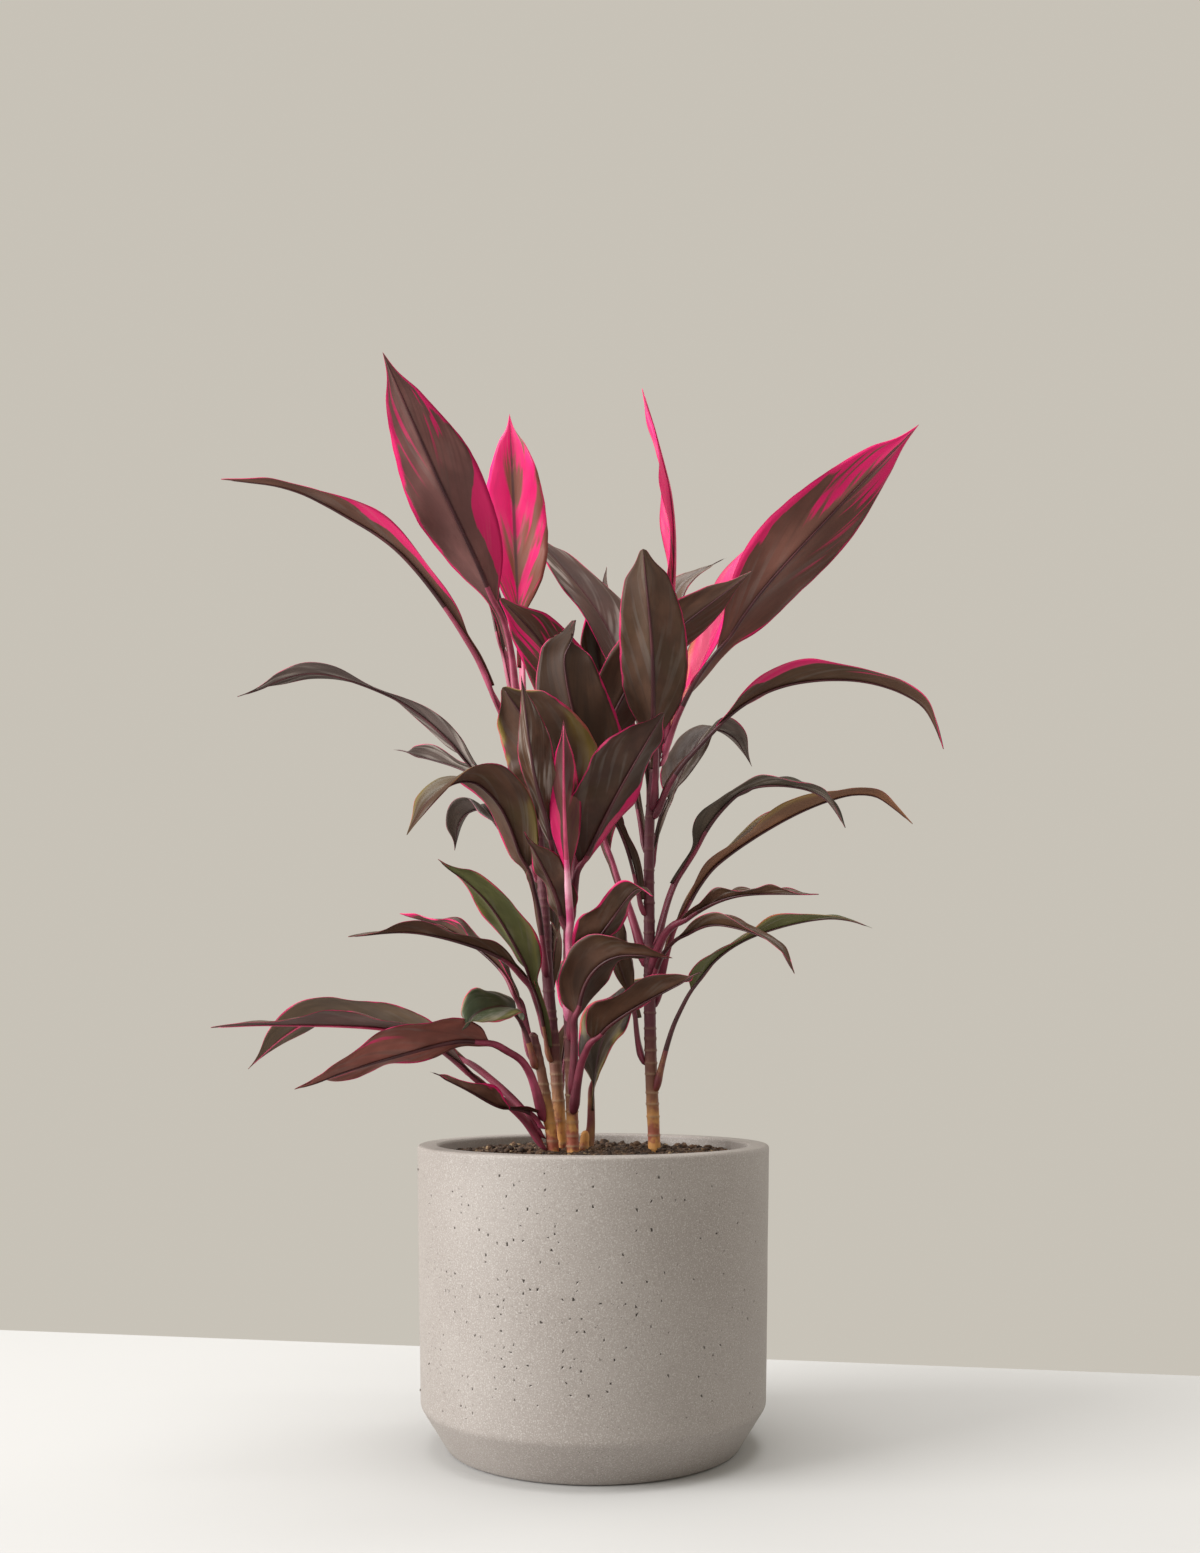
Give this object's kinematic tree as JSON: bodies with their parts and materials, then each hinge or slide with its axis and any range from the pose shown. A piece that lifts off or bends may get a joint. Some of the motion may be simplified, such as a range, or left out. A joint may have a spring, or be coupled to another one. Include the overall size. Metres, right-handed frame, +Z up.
{
  "type": "potted cordyline",
  "caption": "Live cordyline plant with dark maroon and pink leaves on slender canes, growing in a round concrete planter with a chamfered foot.",
  "frame": {"origin": "centre of the planter's flat underside", "axes": "+Z up along the planter's axis, -Y towards the side that the foliage shows best, +X to the right of that side"},
  "size_m": [0.5739, 0.3103, 0.905],
  "materials": {
    "concrete": "matte",
    "soil": "matte",
    "cane": "matte",
    "leaf_dark": "satin",
    "leaf_mauve": "satin",
    "leaf_pink": "satin",
    "leaf_green": "satin"
  },
  "bodies": {
    "root": {"back_dark": "leaf_dark", "back_gloss": "leaf_dark", "back_low": "leaf_dark", "back_small": "leaf_dark", "cane_centre": "cane", "cane_left": "cane", "cane_right": "cane", "cane_tall": "cane", "centre_edge": "leaf_dark", "centre_gloss": "leaf_dark", "centre_left": "leaf_dark", "centre_pink": "leaf_pink", "centre_right": "leaf_dark", "centre_small": "leaf_dark", "centre_to_right": "leaf_dark", "front_long": "leaf_dark", "front_low": "leaf_dark", "front_pink_edge": "leaf_dark", "green_curl": "leaf_green", "green_up": "leaf_green", "left_arch": "leaf_mauve", "left_fold": "leaf_dark", "left_grey": "leaf_dark", "left_hang": "leaf_dark", "left_high": "leaf_dark", "left_red": "leaf_dark", "left_thin": "leaf_dark", "low_back": "leaf_dark", "low_broken": "leaf_mauve", "low_long": "leaf_dark", "low_red": "leaf_mauve", "mid_left": "leaf_mauve", "mid_round": "leaf_dark", "pot": "concrete", "right_a": "leaf_dark", "right_arch": "leaf_dark", "right_b": "leaf_dark", "right_c": "leaf_dark", "right_cross": "leaf_dark", "right_d": "leaf_dark", "right_grey": "leaf_dark", "right_low": "leaf_green", "shoot": "cane", "shoot_leaf": "leaf_green", "soil": "soil", "tall_dark": "leaf_dark", "top_back": "leaf_dark", "top_behind": "leaf_mauve", "top_big": "leaf_mauve", "top_pink": "leaf_pink", "top_right": "leaf_mauve", "top_right_pink": "leaf_pink", "top_spear": "leaf_pink"}
  },
  "joints": []
}
